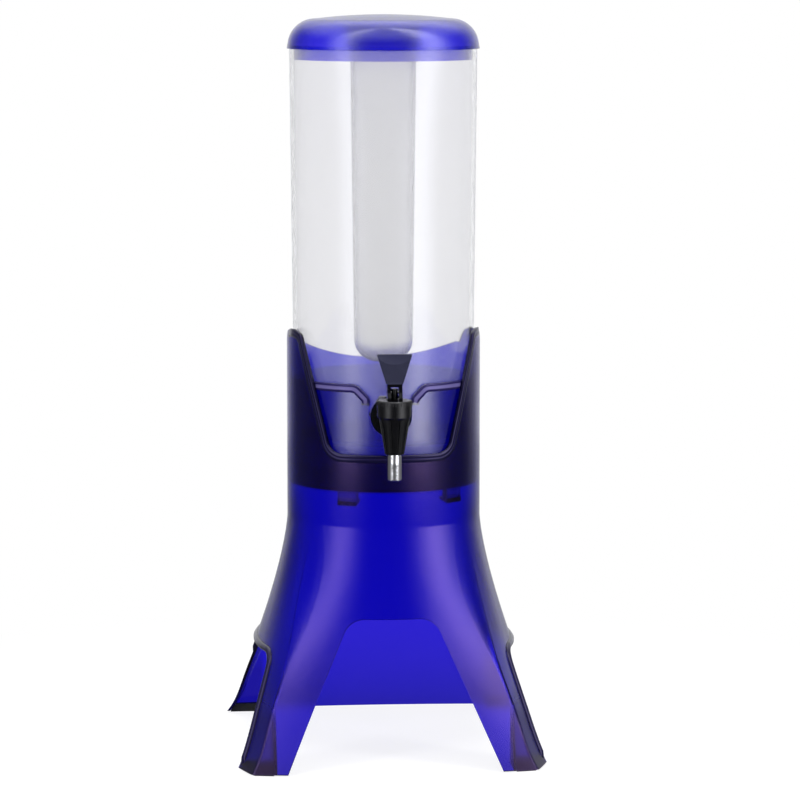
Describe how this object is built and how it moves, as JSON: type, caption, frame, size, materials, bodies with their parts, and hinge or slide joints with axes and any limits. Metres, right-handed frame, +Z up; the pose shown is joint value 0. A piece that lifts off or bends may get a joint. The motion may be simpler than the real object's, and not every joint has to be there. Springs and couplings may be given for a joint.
{
  "type": "beer tower dispenser",
  "caption": "Tabletop drink tower: clear tank with an ice tube and a lever tap, standing in a translucent flared stand with arched feet.",
  "frame": {"origin": "on the tower's axis at floor level, under the middle of the feet", "axes": "+Z up along the tower; the tap faces -Y; +X to the right seen from the tap side"},
  "size_m": [0.2192, 0.2285, 0.52],
  "materials": {
    "stand_blue": "translucent blue moulding, glossy",
    "cup_blue": "translucent blue moulding, glossy",
    "lid_blue": "translucent blue moulding, glossy",
    "tank_clear": "clear polycarbonate, polished",
    "ice_clear": "clear plastic, slightly milky",
    "tap_black": "black moulding, satin gloss",
    "lever_black": "charcoal moulding, fine grain",
    "spout_metal": "polished",
    "steel": "drawn stainless",
    "rubber_black": "smooth",
    "silicone": "food grade silicone, satin"
  },
  "bodies": {
    "stand": {"base_shell": "stand_blue", "foot_pads": "rubber_black", "cradle_cup": "cup_blue"},
    "tank": {"tank_tube": "tank_clear", "outer_washer": "rubber_black", "inner_washer": "silicone", "shank_nut": "tap_black", "tap_body": "tap_black", "spout_tube": "spout_metal", "tap_bonnet": "tap_black", "stem_seal": "silicone", "return_spring": "steel"},
    "stem": {"tap_stem": "tap_black", "seat_cup": "silicone", "lever_pin": "steel"},
    "lever": {"tap_lever": "lever_black"},
    "lid": {"lid_cap": "lid_blue", "ice_tube_seal": "silicone"},
    "ice": {"ice_tube": "ice_clear"}
  },
  "joints": [
    {"name": "tank_lift", "type": "slide", "parent": "stand", "child": "tank", "axis": [0, 0, 1], "range_m": [0, 0.12]},
    {"name": "lid_lift", "type": "slide", "parent": "tank", "child": "lid", "axis": [0, 0, 1], "range_m": [0, 0.24]},
    {"name": "ice_tube_twist", "type": "hinge", "parent": "lid", "child": "ice", "pos_m": [0, 0, 0.505], "axis": [0, 0, 1], "range_deg": [0, 90]},
    {"name": "stem_slide", "type": "slide", "parent": "tank", "child": "stem", "axis": [0, 0, 1], "range_m": [0, 0.0044], "deforming": ["return_spring"]},
    {"name": "lever_tilt", "type": "hinge", "parent": "stem", "child": "lever", "pos_m": [0, -0.09803, 0.26435], "axis": [1, 0, 0], "range_deg": [0, 40], "stiffness_Nm_per_rad": 0.02, "springref_deg": -17.19}
  ],
  "couplings": [
    {"joint": "stem_slide", "follows": "lever_tilt", "m_per_rad": 0.0063}
  ]
}
